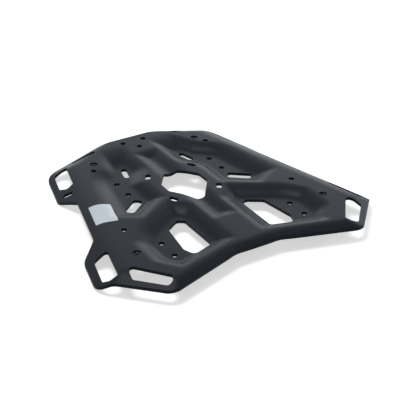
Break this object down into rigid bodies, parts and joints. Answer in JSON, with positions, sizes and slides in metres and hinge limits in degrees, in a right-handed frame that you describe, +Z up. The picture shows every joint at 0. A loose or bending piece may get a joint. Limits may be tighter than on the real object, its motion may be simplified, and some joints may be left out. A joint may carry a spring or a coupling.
{
  "type": "motorcycle luggage rack",
  "caption": "Pressed sheet luggage rack for a motorcycle tail: flat deck with stiffening pockets, folded border, strap openings, bolt holes and press-in threaded nuts.",
  "frame": {"origin": "middle of the plate's length and width, at the level of its lowest edge", "axes": "+X across the motorcycle, +Y towards its rear, +Z up"},
  "size_m": [0.3784, 0.3438, 0.0242],
  "materials": {
    "powder_coat": "satin powder coat",
    "zinc_nut": "zinc plated"
  },
  "bodies": {
    "root": {"rack_plate": "powder_coat", "press_nut_rear_right": "zinc_nut", "press_nut_rear_left": "zinc_nut", "press_nut_front_right": "zinc_nut", "press_nut_front_left": "zinc_nut"}
  },
  "joints": []
}
